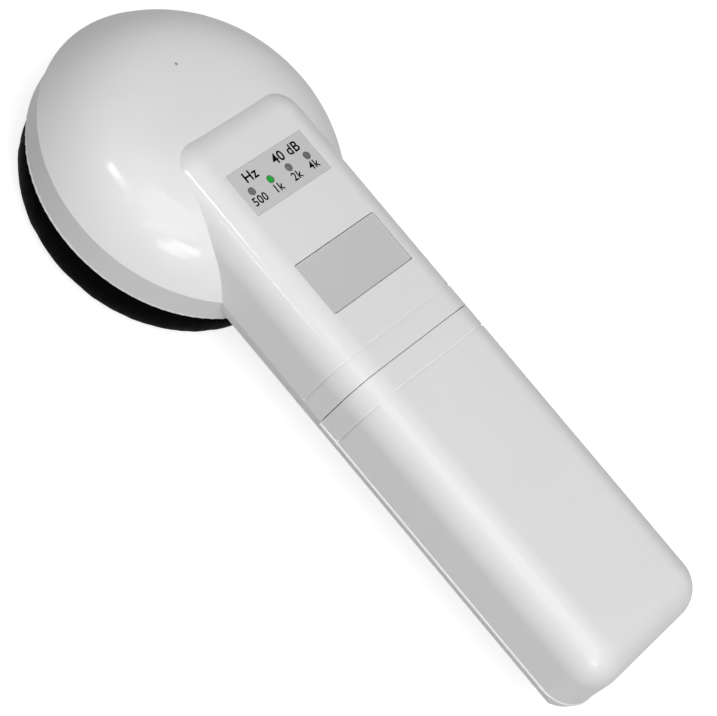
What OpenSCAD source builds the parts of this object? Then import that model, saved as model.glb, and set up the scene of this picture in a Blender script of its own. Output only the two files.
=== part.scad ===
// Hand-held hearing screener: one round ear cup on a straight handle, in millimetres.
// Every part is drawn about the axis of the cup, with z = 0 on the flat back of the case
// and +X along the handle. placed() then puts the origin in the middle of the footprint.

/* [Cup] */
// Radius of the cup at the parting line, its widest place
crease_r = 45.9; // [44:0.1:50]
// How much smaller the cup's band is where it meets the cushion
band_draft = 0.9; // [0.5:0.1:1.4]
// Height of the parting line above the flat back
parting_z = 10.6; // [10.2:0.1:14]
// Rise of the dome above the parting line
dome_rise = 18.9; // [17.5:0.1:19.5]
// How flat the dome's crown is: a higher number gives a squarer shoulder
dome_power = 4.5; // [4:0.1:5]
// Wall of both case shells and of the battery cover
wall = 2.2; // [1.8:0.1:2.6]
// Radius of the pin hole in the dome
vent_r = 0.5; // [0.3:0.05:0.8]
// Distance of the pin hole from the cup's axis, away from the handle
vent_out = 19.3; // [15:0.1:24]
// Side distance of the pin hole from the middle
vent_side = 1; // [0:0.1:3]
// Radius of the bead along the band's lower edge
band_bead_r = 0.45; // [0.3:0.05:0.6]

/* [Handle] */
// Width of the handle
handle_w = 52.5; // [51:0.5:58]
// Tip of the handle, measured from the cup's axis
handle_end = 178.7; // [172:0.1:195]
// Height of the front face above the flat back
front_z = 31.5; // [31:0.1:34]
// Rounding along every outer edge and corner of the handle
edge_r = 10; // [8:0.1:10]
// Rounding along the two long lower edges of the handle
tray_r = 12.5; // [10.5:0.1:13.5]
// Where the raised handle block starts on the dome, behind the cup's axis
block_back = 3; // [1:0.1:5]
// Radius in plan of the two corners where the raised block ends on the dome
block_corner_r = 11; // [10:0.5:16]
// Seam between the front shell and the battery cover
seam_x = 78.2; // [77.5:0.1:81]
// Width of the seam
seam_gap = 0.3; // [0.2:0.05:0.5]
// Distance of each grip groove from the seam
groove_out = 7; // [5.5:0.1:9]
// Width of a grip groove
groove_w = 0.7; // [0.4:0.1:1]
// Depth of a grip groove
groove_depth = 0.35; // [0.15:0.05:0.45]
// Radius of the bead below the battery cover's edge
tray_bead_r = 0.6; // [0.4:0.05:0.8]
// Distance of that bead's middle below the parting line
tray_bead_drop = 1; // [0.9:0.05:1.4]

/* [Label and lamps] */
// Middle of the label along the handle
label_x = 20.75; // [19:0.05:23]
// Length of the label along the handle
label_l = 13.4; // [11:0.1:14]
// Width of the label across the handle
label_w = 30.7; // [28:0.1:31]
// Thickness of the label
label_t = 0.3; // [0.2:0.05:0.4]
// Distance between neighbouring lamps
lamp_pitch = 7.62; // [7:0.01:8]
// Middle of the lamp row along the handle
lamp_x = 21; // [20:0.1:22]
// Radius of a lamp's lens
lamp_r = 1.05; // [0.8:0.05:1.2]
// Height of the spacer strip that carries the lamps
spacer_h = 2.5; // [2:0.1:3]
// Width of the spacer strip along the handle
spacer_w = 4.4; // [3.6:0.1:5]

/* [Press key] */
// Middle of the key along the handle
key_x = 51.7; // [50:0.1:52]
// Length of the key's opening along the handle
key_l = 16.6; // [14:0.1:17.5]
// Width of the key's opening across the handle
key_w = 33.6; // [30:0.1:34]
// Radius of the corners of the key's opening
key_corner_r = 0.5; // [0.4:0.05:1.2]
// How far the key's face lies below the front face
key_sink = 0.5; // [0.3:0.05:0.7]
// Travel of the key
key_travel = 0.8; // [0.4:0.05:0.8]
// Gap between the key and its opening, all round
key_gap = 0.2; // [0.15:0.05:0.3]
// Thickness of the key's plate
key_plate = 1.6; // [1.3:0.1:1.7]
// Width of the flange that keeps the key in the case
key_flange = 0.9; // [0.6:0.1:1.1]
// Outer radius of a return spring
spring_r = 2.2; // [2:0.1:2.4]
// Radius of the return spring's wire
spring_wire = 0.22; // [0.15:0.01:0.25]
// Turns of a return spring
spring_turns = 5; // [4:1:5]
// Distance of each return spring from the key's middle
spring_out = 11.5; // [9:0.1:13]
// Side of the square switch under the key
switch_side = 6; // [5.5:0.1:7]
// Height of the switch's case
switch_h = 3.5; // [3:0.1:3.6]
// Radius of the switch's plunger
plunger_r = 1.75; // [1.4:0.05:1.9]

/* [Circuit board] */
// Start of the board along the handle
board_x0 = 9; // [7:0.5:9.5]
// End of the board along the handle
board_x1 = 67; // [66:0.1:68]
// Width of the board
board_w = 42; // [40:0.5:43]
// Thickness of the board
board_t = 1.6; // [1:0.1:1.8]
// Height of the board's lamp side above the flat back
board_z = 24.5; // [24.3:0.1:24.6]
// Side distance of the board's screws from the middle
board_screw_y = 18; // [17.8:0.1:18.2]
// Distance of the board's screws from its ends
board_screw_in = 3.2; // [3:0.1:3.5]
// Radius of the posts that carry the board
post_r = 2.4; // [2:0.1:2.4]
// Radius of the board screws' thread
board_screw_r = 1; // [0.8:0.05:1.2]

/* [Case screws] */
// Radius of the case screws' thread
case_screw_r = 1.5; // [1.2:0.05:1.6]
// Radius of the case screws' heads
case_head_r = 2.8; // [2.4:0.1:2.9]
// Height of the case screws' heads
case_head_h = 1.8; // [1.4:0.1:2]
// Length of the case screws below their heads
case_screw_l = 13; // [11:0.5:13.5]
// Depth of the recess that hides a case screw's head
case_recess = 3.8; // [3.2:0.1:4.5]
// Radius of the bosses that take the case screws
boss_r = 3.8; // [3.5:0.1:4]
// Distance of the cup's case screws in from the band
cup_boss_in = 8.2; // [7.6:0.1:8.8]
// Distance of the handle's case screws from the cup's axis
handle_boss_x = 72.6; // [72.2:0.1:73]
// Side distance of the handle's case screws from the middle
handle_boss_y = 14; // [12:0.1:15]

/* [Ear cushion] */
// Depth of the cushion below the case
cushion_h = 16.7; // [14:0.1:18.5]
// How far the cushion at its fullest stays in from the band
cushion_in = 2.5; // [1.5:0.1:3]
// Radius of the cushion's opening for the ear
ear_r = 21; // [19:0.1:23]
// How square the cushion's section is
cushion_power = 2.6; // [2.2:0.1:3.2]
// Depth of the flat that the cushion's crown is pressed to
crown_flat = 0.4; // [0.2:0.1:0.8]
// How far the cushion plate's rim stays in from the cushion's fullest place
plate_in = 0.8; // [0.5:0.1:1.5]
// Radius of the raised disc that the cushion's skirt is drawn over
plate_step_r = 36; // [34.5:0.1:37]
// Thickness of the cushion plate's rim
plate_t = 1; // [0.8:0.1:1.3]
// Height of the raised disc below the rim
plate_step = 2; // [1.6:0.1:2.4]
// Radius of one sound hole
sound_hole_r = 1.4; // [1:0.1:1.5]
// Distance between neighbouring rings of sound holes
sound_ring = 5; // [4.2:0.1:5.2]
// Radius of the circle of the plate's screws
plate_screw_out = 31.5; // [30.8:0.1:31.8]
// Radius of the plate screws' thread
plate_screw_r = 1; // [0.8:0.05:1.2]

/* [Speaker] */
// Radius of the speaker's moving cone
cone_r = 19.2; // [18:0.1:19.4]
// Width of the surround's roll between cone and flange
roll_w = 2.4; // [2:0.1:2.5]
// Width of the speaker's flange
speaker_flange = 2.9; // [2.4:0.1:3.1]
// Radius of the voice coil
coil_r = 6; // [5.5:0.1:6.5]
// Radius of the magnet
magnet_r = 11.5; // [11:0.1:13]
// Height of the magnet
magnet_h = 5.4; // [4:0.1:5.6]
// Height of the speaker's cone
cone_h = 4.4; // [3.5:0.1:4.8]
// Stroke of the cone each way
cone_stroke = 0.3; // [0.2:0.05:0.35]
// Thickness of the foam seal under the speaker's flange
gasket_t = 1; // [0.8:0.1:1.2]
// Radius of the opening in the case's floor in front of the speaker
sound_open_r = 21.2; // [21.2:0.1:21.6]
// Radius of the speaker screws' thread
speaker_screw_r = 0.9; // [0.7:0.05:1]
// Radius of the speaker screws' heads
speaker_head_r = 2.6; // [2.5:0.1:2.8]

/* [Battery] */
// Length of the battery's case, without its terminals
battery_l = 46.4; // [45.5:0.1:46.5]
// Width of the battery
battery_w = 26.5; // [25.5:0.1:26.5]
// Thickness of the battery
battery_t = 17.5; // [16.5:0.1:17.5]
// Distance between the battery's terminals
terminal_pitch = 12.7; // [12.5:0.1:12.9]
// Radius of the battery's terminals
terminal_r = 3; // [2.8:0.1:3.4]
// Height of the battery's terminals
terminal_h = 2.1; // [1.8:0.1:2.4]
// Distance of the battery from the seam
battery_out = 32; // [26:0.5:36]
// Height of the cradle ribs that the battery lies on, above the case's floor
cradle_h = 4; // [3:0.1:4.5]
// Length of the snap connector along the handle
clip_l = 4.8; // [4:0.1:5.5]
// Thickness of ribs, rails and the compartment's partition
rib_t = 1.6; // [1.2:0.1:1.8]
// Radius of a lead's insulation
lead_r = 0.7; // [0.5:0.05:0.8]

/* [Battery cover] */
// Travel of the battery cover along its rails
cover_travel = 80; // [70:1:82]
// Length of the lip that the cover's edge lies on
lip_l = 2.4; // [1.8:0.1:2.6]
// Depth of the lip below the outer surface
lip_step = 1.2; // [1:0.05:1.25]
// Height of the rails above the parting line
rail_h = 4.6; // [4:0.1:5.5]
// Height of the cover's ridge
ridge_h = 1; // [0.8:0.1:1.2]
// How far the cover's ridge stands in from its wall
ridge_in = 0.85; // [0.7:0.05:0.95]
// Height of the ridge's middle above the parting line
ridge_z = 2; // [1.8:0.1:2.2]

/* [Clearances] */
// Gap between the cover and the parts that it slides over
slide_gap = 0.3; // [0.25:0.05:0.35]
// Gap between a moving pin and its hole, all round
pin_gap = 0.05; // [0.03:0.01:0.08]
// Gap between a loose piece and the walls beside it
loose_gap = 0.3; // [0.2:0.05:0.4]
// Gap round a soft piece
soft_gap = 0.1; // [0.05:0.01:0.15]

/* [Hidden] */

$fn = 64;
// How far a cutting body runs on, and how far a piece is sunk into the body it is part of
cut = 1;
sunk = 0.2;
half_w = handle_w / 2;
band_r = crease_r - band_draft;
cushion_r = band_r - cushion_in;
plate_r = cushion_r - plate_in;
cup_x = (crease_r - handle_end) / 2;

// The dome: its steepest slope is at the parting line, where a wall is thicker in plan
rim_slope = atan(dome_rise * dome_power / crease_r);
dome_steps = 26;
dome_spread = 0.7;

// Inside of the case
floor_z = wall;
roof_z = front_z - wall;
rail_out_y = half_w - wall - slide_gap;
rail_in_y = rail_out_y - rib_t;
rail_x0 = seam_x + 8;
rail_x1 = rail_x0 + cover_travel + 3;
partition_x = seam_x + lip_l + cut;

// Lamps
lamp_names = [-1.5, -0.5, 0.5, 1.5];
lamp_z0 = board_z + spacer_h;
label_z0 = front_z - label_t - loose_gap / 6;
lamp_top = label_z0 + label_t - loose_gap / 6;
lamp_bevel = 0.15;
lamp_flange_r = lamp_r + 0.4;
lamp_flange_h = 0.8;
lamp_hole_r = lamp_r + pin_gap;
leg_r = 0.25;
leg_out = 0.6;
leg_end = 1;

// Key and switch
key_top = front_z - key_sink;
key_ceiling = key_top - key_plate;
flange_top = roof_z - loose_gap / 6;
flange_h = 0.9;
skirt_t = 1.2;
stem_r = 1.5;
guide_l = 1.6;
plunger_rise = 0.9;
plunger_top = board_z + switch_h + plunger_rise;
plunger_sunk = 1.5;
spring_len = key_ceiling - board_z;
spring_rings = 8;
spring_sides = 6;

// Cross slot of a screw, as shares of its head's radius and height
slot_reach = 0.65;
slot_half = 0.12;
slot_depth = 0.5;

// Board
board_bottom = board_z - board_t;
board_corner_r = 2;
board_screw_x = [board_x0 + board_screw_in, board_x1 - board_screw_in];
board_head_r = 2;
board_head_h = 1.4;
board_thread_up = 3.6;

// Case screws
cup_boss_xy = (band_r - cup_boss_in) / sqrt(2);
case_screw_at = [
    [-cup_boss_xy, -cup_boss_xy], [-cup_boss_xy, cup_boss_xy],
    [handle_boss_x, -handle_boss_y], [handle_boss_x, handle_boss_y]
];
case_screw_top = case_recess + case_screw_l;

// Cushion and its plate
cushion_mid_r = (cushion_r + ear_r) / 2;
cushion_half = (cushion_r - ear_r) / 2;
cushion_top = -plate_t - soft_gap;
cushion_rise = (cushion_h + crown_flat + cushion_top) / 2;
cushion_mid_z = cushion_top - cushion_rise;
cushion_steps = 40;
plate_bottom = -plate_t - plate_step;
sound_rings = 3;
plate_head_r = 2.3;
plate_head_h = 1.4;
plate_thread_l = wall + plate_t + plate_step - 0.6;

// Speaker, from the case's floor up
flange_z = floor_z + gasket_t;
flange_t = 1;
cone_t = 0.5;
cone_z = flange_z + flange_t / 2 + cone_stroke;
coil_z0 = cone_z + cone_h;
coil_h = 3.2;
back_z = coil_z0 + cone_stroke + 0.7;
back_t = 1;
coil_t = 0.35;
coil_gap = 1;
frame_in_r = cone_r + roll_w;
speaker_r = frame_in_r + speaker_flange;
magnet_z = back_z + back_t;
magnet_plate = 1.4;
speaker_boss_r = speaker_screw_r + 0.8;
speaker_screw_out = speaker_r + speaker_boss_r + loose_gap;
speaker_screw_l = flange_z + flange_t - floor_z;
speaker_screw_angles = [45, 165, 285];
basket_rise = 1.6;
basket_t = 0.8;
basket_window_w = 6;
basket_window_in = 2;
pole_gap = coil_gap / 2;
cone_lip = 1;
cone_dent_r = coil_r * 0.7;
plate_screw_angles = [0, 90, 180, 270];
foam_in_r = plate_screw_out + plate_head_r + loose_gap;
foam_h = parting_z - floor_z - 1;

// Battery
battery_corner_r = 2;
battery_x = seam_x + battery_out;
battery_z = floor_z + cradle_h + loose_gap;
battery_mid_z = battery_z + battery_t / 2;
clip_t = 12.6;
clip_x = battery_x - clip_l - loose_gap / 3;
socket_depth = terminal_h + loose_gap;
pad_inset = 3;
lead_y = 3;
notch_drop = 6;
lead_sides = 8;

// Pieces soldered under the board
processor_at = [46, 0];
processor_size = [7.5, 12.8, 2.3];
amplifier_at = [34, 13];
amplifier_size = [5, 4, 1.5];
capacitor_at = [[56, -12], [56, 12], [46, -14]];
capacitor_r = 2.5;
capacitor_h = 5;
crystal_at = [46, 13.5];
crystal_size = [4.5, 11, 3.5];
crystal_corner_r = 2.2;
resistor_count = 6;
resistor_x0 = 13.4;
resistor_pitch = 3;
resistor_y0 = 5;
resistor_step = 4;
resistor_size = [1.3, 2, 0.6];

// Sockets under the board, where the leads end
battery_socket = [60, 0];
speaker_socket = [33, 0];
socket_size = [5, 6, 4.5];
socket_pin_y = 1.5;
lead_bend = 6;
socket_z = board_bottom - socket_size[2];
wire_socket_z = socket_z + socket_size[2] / 2;

// Colours as the photograph shows them
shell_colour = [0.88, 0.88, 0.88];
grey_colour = [0.75, 0.75, 0.75];
black_colour = [0.05, 0.05, 0.05];
steel_colour = [0.7, 0.7, 0.72];
lamp_grey = [0.5, 0.5, 0.5];
lamp_green = [0.0, 0.66, 0.2];

// Moves a part from the cup's axis to the middle of the footprint
module placed() {
    translate([cup_x, 0, cushion_h]) children();
}

// Height of the dome at a distance r from the cup's axis
function dome_z(r, rim, rise) = parting_z + rise * (1 - pow(r / rim, dome_power));

// Solid dome, drawn in by inset all over and carried down below the parting line
module dome_solid(inset, below) {
    rim = crease_r - inset / sin(rim_slope);
    rise = dome_rise - inset;
    curve = [
        for (i = [dome_steps : -1 : 0])
            let (r = rim * pow(i / dome_steps, dome_spread)) [r, dome_z(r, rim, rise)]
    ];
    rotate_extrude($fn = 128)
        polygon(concat([[0, parting_z - below], [rim, parting_z - below]], curve));
}

// Width at the foot of a rounded rim that is lower than its own radius
function foot(r, h) = h >= r ? r : sqrt(r * r - (r - h) * (r - h));

// Section of a rounded rim: height h with a quarter-round top of radius r, cut off at the foot,
// and a plain strip of width inner on its inner side
module rim_section(r, h, inner = 0) {
    if (inner > 0) square([inner + cut / 10, h]);
    if (h > r) translate([inner, 0]) square([r, h - r]);
    translate([inner, h - r]) intersection() {
        circle(r);
        translate([0, max(0, r - h)]) square(r);
    }
}

// Bar along the handle whose two upper long edges are rounded
module rounded_bar(x0, x1, half, r, h) {
    inner = half - foot(r, h);
    translate([x0, 0, 0]) rotate([90, 0, 90]) linear_extrude(x1 - x0) union() {
        translate([-inner, 0]) square([2 * inner, h]);
        for (side = [0, 1]) mirror([side, 0]) translate([inner, 0]) rim_section(r, h);
    }
}

// Slab with a rounded rim along its top. In plan its corners have radius back_r at x0
// and radius r, the same as the rim's, at x1
module rounded_slab(x0, x1, half, r, h, back_r) {
    inner_l = x1 - x0 - r - back_r;
    inner_w = 2 * (half - r);
    back_w = 2 * (half - back_r);
    translate([x0 + back_r, -inner_w / 2, 0]) cube([inner_l, inner_w, h]);
    if (back_r > r)
        translate([x0 + r, -back_w / 2, 0]) cube([back_r - r + cut, back_w, h]);
    for (side = [0, 1]) mirror([0, side, 0]) {
        translate([x0 + back_r, half - r, 0]) rotate([90, 0, 90])
            linear_extrude(inner_l) rim_section(r, h);
        translate([x1 - r, half - r, 0]) rotate_extrude(angle = 90) rim_section(r, h);
        translate([x0 + back_r, half - back_r, 0]) rotate([0, 0, 90])
            rotate_extrude(angle = 90) rim_section(r, h, back_r - r);
    }
    translate([x1 - r, half - r, 0]) rotate([90, 0, 0])
        linear_extrude(inner_w) rim_section(r, h);
    translate([x0 + r, half - back_r, 0]) rotate([90, 0, 0]) mirror([1, 0, 0])
        linear_extrude(back_w) rim_section(r, h);
}

// The raised front of the handle, drawn in by inset
module block_solid(inset, below) {
    translate([0, 0, parting_z - below])
        rounded_slab(
            -block_back + inset, handle_end - inset, half_w - inset,
            edge_r - inset, front_z - parting_z - inset + below, block_corner_r - inset
        );
}

// The whole front of the case, drawn in by inset
module front_solid(inset, below) {
    dome_solid(inset, below);
    block_solid(inset, below);
}

// The whole back of the case, drawn in by inset and carried up above the parting line
module rear_solid(inset, above) {
    translate([0, 0, inset])
        cylinder(h = parting_z - inset, r1 = band_r - inset, r2 = crease_r - inset, $fn = 128);
    if (above > 0)
        translate([0, 0, parting_z]) cylinder(h = above, r = crease_r - inset, $fn = 128);
    translate([0, 0, parting_z + above]) mirror([0, 0, 1]) intersection() {
        rounded_slab(
            inset, handle_end - inset, half_w - inset,
            edge_r - inset, parting_z - inset + above, edge_r - inset
        );
        rounded_bar(
            inset - cut, handle_end, half_w - inset,
            tray_r - inset, parting_z - inset + above
        );
    }
}

// Everything between two distances from the cup's axis
module between(x0, x1) {
    translate([x0, -crease_r - cut, -cut])
        cube([x1 - x0, 2 * (crease_r + cut), front_z + 2 * cut]);
}

// The ring of material between the surface and a shallow depth, at one place on the handle
module grip_groove(x) {
    intersection() {
        difference() {
            block_solid(-cut, 0);
            block_solid(groove_depth, cut);
        }
        between(x - groove_w / 2, x + groove_w / 2);
    }
}

// Box with rounded upright edges
module rounded_box(size, r) {
    linear_extrude(size[2]) union() {
        square([size[0] - 2 * r, size[1]], center = true);
        square([size[0], size[1] - 2 * r], center = true);
        for (x = [-1, 1], y = [-1, 1])
            translate([x * (size[0] / 2 - r), y * (size[1] / 2 - r)]) circle(r, $fn = 24);
    }
}

// Screw with its head down at the origin and its thread pointing up
module screw(head_r, head_h, thread_r, thread_l) {
    difference() {
        union() {
            cylinder(h = head_h, r = head_r, $fn = 32);
            translate([0, 0, head_h]) cylinder(h = thread_l, r = thread_r, $fn = 32);
        }
        for (turn = [0, 90]) rotate([0, 0, turn])
            translate([-head_r * slot_reach, -head_r * slot_half, -cut])
                cube([head_r * 2 * slot_reach, head_r * 2 * slot_half, cut + head_h * slot_depth]);
    }
}

// Ring about the cup's axis
module ring(z, h, r_out, r_in) {
    translate([0, 0, z]) difference() {
        cylinder(h = h, r = r_out);
        translate([0, 0, -cut]) cylinder(h = h + 2 * cut, r = r_in);
    }
}

// Skin of a tube: rings of points that follow one another, closed at both ends
module tube(rings, sides) {
    count = len(rings) / sides;
    around = [
        for (i = [0 : count - 2], j = [0 : sides - 1])
            let (a = i * sides + j, b = i * sides + (j + 1) % sides)
            each [[a, b, a + sides], [b, b + sides, a + sides]]
    ];
    first = [for (j = [1 : sides - 2]) [0, j + 1, j]];
    base = (count - 1) * sides;
    last = [for (j = [1 : sides - 2]) [base, base + j, base + j + 1]];
    polyhedron(rings, concat(around, first, last));
}

function unit(v) = v / norm(v);

// Ring of points about one point of a lead's route, in the plane that halves the bend
function lead_ring(points, i) =
    let (
        k = max(i, 1),
        m = min(i, len(points) - 2),
        turn = unit(points[k] - points[k - 1]) + unit(points[m + 1] - points[m]),
        up = unit(cross(unit(turn), [0, 1, 0])),
        side = cross(up, unit(turn)),
        reach = 2 / norm(turn)
    )
    [
        for (j = [0 : lead_sides - 1])
            let (a = 360 * (j + 0.5) / lead_sides)
            points[i] + lead_r * (reach * cos(a) * up + sin(a) * side)
    ];

// Lead along a list of points
module lead(points) {
    tube([for (i = [0 : len(points) - 1]) each lead_ring(points, i)], lead_sides);
}

// ---------------------------------------------------------------- case

// Post for a case screw in the front shell, grown into the dome or the front wall
module front_bosses() {
    intersection() {
        for (p = case_screw_at)
            translate([p[0], p[1], parting_z]) cylinder(h = front_z, r = boss_r);
        front_solid(wall / 2, 0);
    }
}

module board_posts() {
    intersection() {
        for (x = board_screw_x, y = [-1, 1])
            translate([x, y * board_screw_y, board_z])
                cylinder(h = front_z - board_z, r = post_r);
        front_solid(wall / 2, 0);
    }
}

// Lip that runs on under the battery cover's edge
module seam_lip() {
    intersection() {
        difference() {
            block_solid(lip_step, 0);
            block_solid(wall, cut);
        }
        between(seam_x - cut, seam_x + lip_l);
    }
}

module front_shell() {
    color(shell_colour) placed() difference() {
        union() {
            intersection() {
                difference() {
                    front_solid(0, 0);
                    front_solid(wall, cut);
                }
                between(-crease_r - cut, seam_x);
            }
            seam_lip();
            front_bosses();
            board_posts();
        }
        translate([label_x - label_l / 2, -label_w / 2, label_z0])
            cube([label_l, label_w, front_z]);
        for (k = lamp_names) translate([lamp_x, k * lamp_pitch, board_z])
            cylinder(h = front_z, r = lamp_hole_r, $fn = 24);
        translate([key_x, 0, board_z + cut]) rounded_box([key_l, key_w, front_z], key_corner_r);
        for (p = case_screw_at) translate([p[0], p[1], 0])
            cylinder(h = case_screw_top + loose_gap, r = case_screw_r + pin_gap, $fn = 32);
        for (x = board_screw_x, y = [-1, 1])
            translate([x, y * board_screw_y, board_z - cut])
                cylinder(
                    h = cut + board_thread_up + loose_gap,
                    r = board_screw_r + pin_gap, $fn = 24
                );
        translate([-vent_out, -vent_side, 0]) cylinder(h = front_z + cut, r = vent_r, $fn = 16);
        grip_groove(seam_x - groove_out);
    }
}

// Bead round the open end of the tray, just below the battery cover's edge
module tray_bead() {
    x0 = seam_x + seam_gap;
    x1 = handle_end - edge_r;
    inner = half_w - edge_r;
    out = edge_r - tray_bead_r / 2;
    translate([0, 0, parting_z - tray_bead_drop]) {
        for (side = [0, 1]) mirror([0, side, 0]) {
            translate([x0, inner + out, 0]) rotate([0, 90, 0])
                cylinder(h = x1 - x0, r = tray_bead_r, $fn = 32);
            translate([x1, inner, 0]) rotate_extrude(angle = 90)
                translate([out, 0]) circle(tray_bead_r, $fn = 32);
        }
        translate([x1 + out, inner, 0]) rotate([90, 0, 0])
            cylinder(h = 2 * inner, r = tray_bead_r, $fn = 32);
    }
}

// Bead round the lower edge of the cup's band
module band_bead() {
    rotate_extrude($fn = 128) translate([band_r - band_bead_r / 3, band_bead_r * 1.1])
        circle(band_bead_r, $fn = 24);
}

// Two rails inside the tray, each with a groove for the cover's ridge
module cover_rails() {
    intersection() {
        for (side = [0, 1]) mirror([0, side, 0]) difference() {
            translate([rail_x0, rail_in_y, 0])
                cube([rail_x1 - rail_x0, rib_t, parting_z + rail_h]);
            translate([
                rail_x0 - cut, rail_out_y - ridge_in,
                parting_z + ridge_z - ridge_h / 2 - slide_gap
            ])
                cube([rail_x1 - rail_x0 + 2 * cut, 2 * rib_t, ridge_h + 2 * slide_gap]);
        }
        rear_solid(wall / 2, rail_h + cut);
    }
}

// Wall between the electronics and the battery, with a notch for the leads
module partition() {
    top = battery_z + battery_t;
    notch_w = 2 * lead_y + 4;
    difference() {
        union() {
            intersection() {
                translate([partition_x, -half_w, 0]) cube([rib_t, handle_w, parting_z]);
                rear_solid(wall / 2, 0);
            }
            translate([partition_x, -rail_in_y, parting_z - cut])
                cube([rib_t, 2 * rail_in_y, top - parting_z + cut]);
        }
        translate([partition_x - cut, -notch_w / 2, top - notch_drop])
            cube([rib_t + 2 * cut, notch_w, notch_drop + cut]);
    }
}

// Ribs that the battery lies on and between
module battery_cradle() {
    side_y = battery_w / 2 + loose_gap;
    stop_x = battery_x + battery_l + loose_gap;
    for (k = [0.2, 0.5, 0.8])
        translate([battery_x + k * battery_l, -battery_w / 2, floor_z - wall / 2])
            cube([rib_t, battery_w, cradle_h + wall / 2]);
    for (side = [0, 1]) mirror([0, side, 0])
        translate([battery_x + 0.2 * battery_l, side_y, floor_z - wall / 2])
            cube([0.6 * battery_l + rib_t, rib_t, cradle_h + wall / 2 + battery_t / 3]);
    translate([stop_x, -battery_w / 2, floor_z - wall / 2])
        cube([rib_t, battery_w, cradle_h + wall / 2 + battery_t / 2]);
}

module rear_shell() {
    color(shell_colour) placed() difference() {
        union() {
            difference() {
                union() {
                    rear_solid(0, 0);
                    tray_bead();
                    band_bead();
                }
                rear_solid(wall, cut);
            }
            for (p = case_screw_at)
                translate([p[0], p[1], floor_z - wall / 2])
                    cylinder(h = parting_z - floor_z + wall / 2, r = boss_r);
            for (a = speaker_screw_angles) rotate([0, 0, a])
                translate([speaker_screw_out, 0, floor_z - wall / 2])
                    cylinder(h = speaker_screw_l + wall / 2, r = speaker_boss_r, $fn = 24);
            cover_rails();
            partition();
            battery_cradle();
        }
        translate([0, 0, -cut]) cylinder(h = floor_z + 2 * cut, r = sound_open_r);
        for (p = case_screw_at) translate([p[0], p[1], -cut]) {
            cylinder(h = cut + case_recess, r = case_head_r + loose_gap, $fn = 32);
            cylinder(h = parting_z + 2 * cut, r = case_screw_r + loose_gap / 2, $fn = 32);
        }
        for (a = speaker_screw_angles) rotate([0, 0, a])
            translate([speaker_screw_out, 0, floor_z - wall / 2])
                cylinder(h = front_z, r = speaker_screw_r + pin_gap, $fn = 24);
        for (a = plate_screw_angles) rotate([0, 0, a])
            translate([plate_screw_out, 0, -cut])
                cylinder(h = floor_z + 2 * cut, r = plate_screw_r + loose_gap / 2, $fn = 24);
    }
}

module battery_cover() {
    color(shell_colour) placed() difference() {
        union() {
            intersection() {
                difference() {
                    block_solid(0, 0);
                    block_solid(wall, cut);
                }
                between(seam_x + seam_gap, handle_end + cut);
            }
            for (side = [0, 1]) mirror([0, side, 0])
                translate([
                    rail_x0, half_w - wall - ridge_in, parting_z + ridge_z - ridge_h / 2
                ])
                    cube([rail_x1 - rail_x0, ridge_in + wall / 2, ridge_h]);
        }
        intersection() {
            block_solid(lip_step - slide_gap, cut);
            between(seam_x - cut, seam_x + lip_l + slide_gap);
        }
        grip_groove(seam_x + groove_out);
    }
}

module cover_pad() {
    z0 = battery_z + battery_t + slide_gap;
    color([0.25, 0.25, 0.27]) placed()
        translate([battery_x + battery_l / 2, 0, z0])
            rounded_box(
                [battery_l - 2 * pad_inset, battery_w - 2 * pad_inset, roof_z - z0],
                battery_corner_r
            );
}

// ---------------------------------------------------------------- label and lamps

module label_panel() {
    color(grey_colour) placed() difference() {
        translate([label_x, 0, label_z0])
            rounded_box(
                [label_l - loose_gap / 2, label_w - loose_gap / 2, label_t], 0.4
            );
        for (k = lamp_names) translate([lamp_x, k * lamp_pitch, label_z0 - cut])
            cylinder(h = label_t + 2 * cut, r = lamp_hole_r, $fn = 24);
    }
}

// Lamp with its flange, lens and two legs that pass through the board
module lamp(k) {
    placed() translate([lamp_x, k * lamp_pitch, 0]) {
        translate([0, 0, lamp_z0]) cylinder(h = lamp_flange_h, r = lamp_flange_r, $fn = 32);
        translate([0, 0, lamp_z0])
            cylinder(h = lamp_top - lamp_bevel - lamp_z0, r = lamp_r, $fn = 32);
        translate([0, 0, lamp_top - lamp_bevel])
            cylinder(h = lamp_bevel, r1 = lamp_r, r2 = lamp_r - lamp_bevel, $fn = 32);
        for (y = [-1, 1])
            translate([0, y * leg_out, board_bottom - leg_end])
                cylinder(h = lamp_z0 - board_bottom + leg_end + sunk, r = leg_r, $fn = 16);
    }
}

module led_500() {
    color(lamp_grey) lamp(lamp_names[0]);
}

module led_1k() {
    color(lamp_green) lamp(lamp_names[1]);
}

module led_2k() {
    color(lamp_grey) lamp(lamp_names[2]);
}

module led_4k() {
    color(lamp_grey) lamp(lamp_names[3]);
}

// Holes for the lamps' legs
module leg_holes(z, h) {
    for (k = lamp_names, y = [-1, 1])
        translate([lamp_x, k * lamp_pitch + y * leg_out, z])
            cylinder(h = h, r = leg_r + pin_gap, $fn = 16);
}

module led_spacer() {
    color(black_colour) placed() difference() {
        translate([lamp_x, 0, board_z])
            rounded_box([spacer_w, len(lamp_names) * lamp_pitch, spacer_h], 0.5);
        leg_holes(board_z - cut, spacer_h + 2 * cut);
    }
}

// ---------------------------------------------------------------- key and switch

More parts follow.
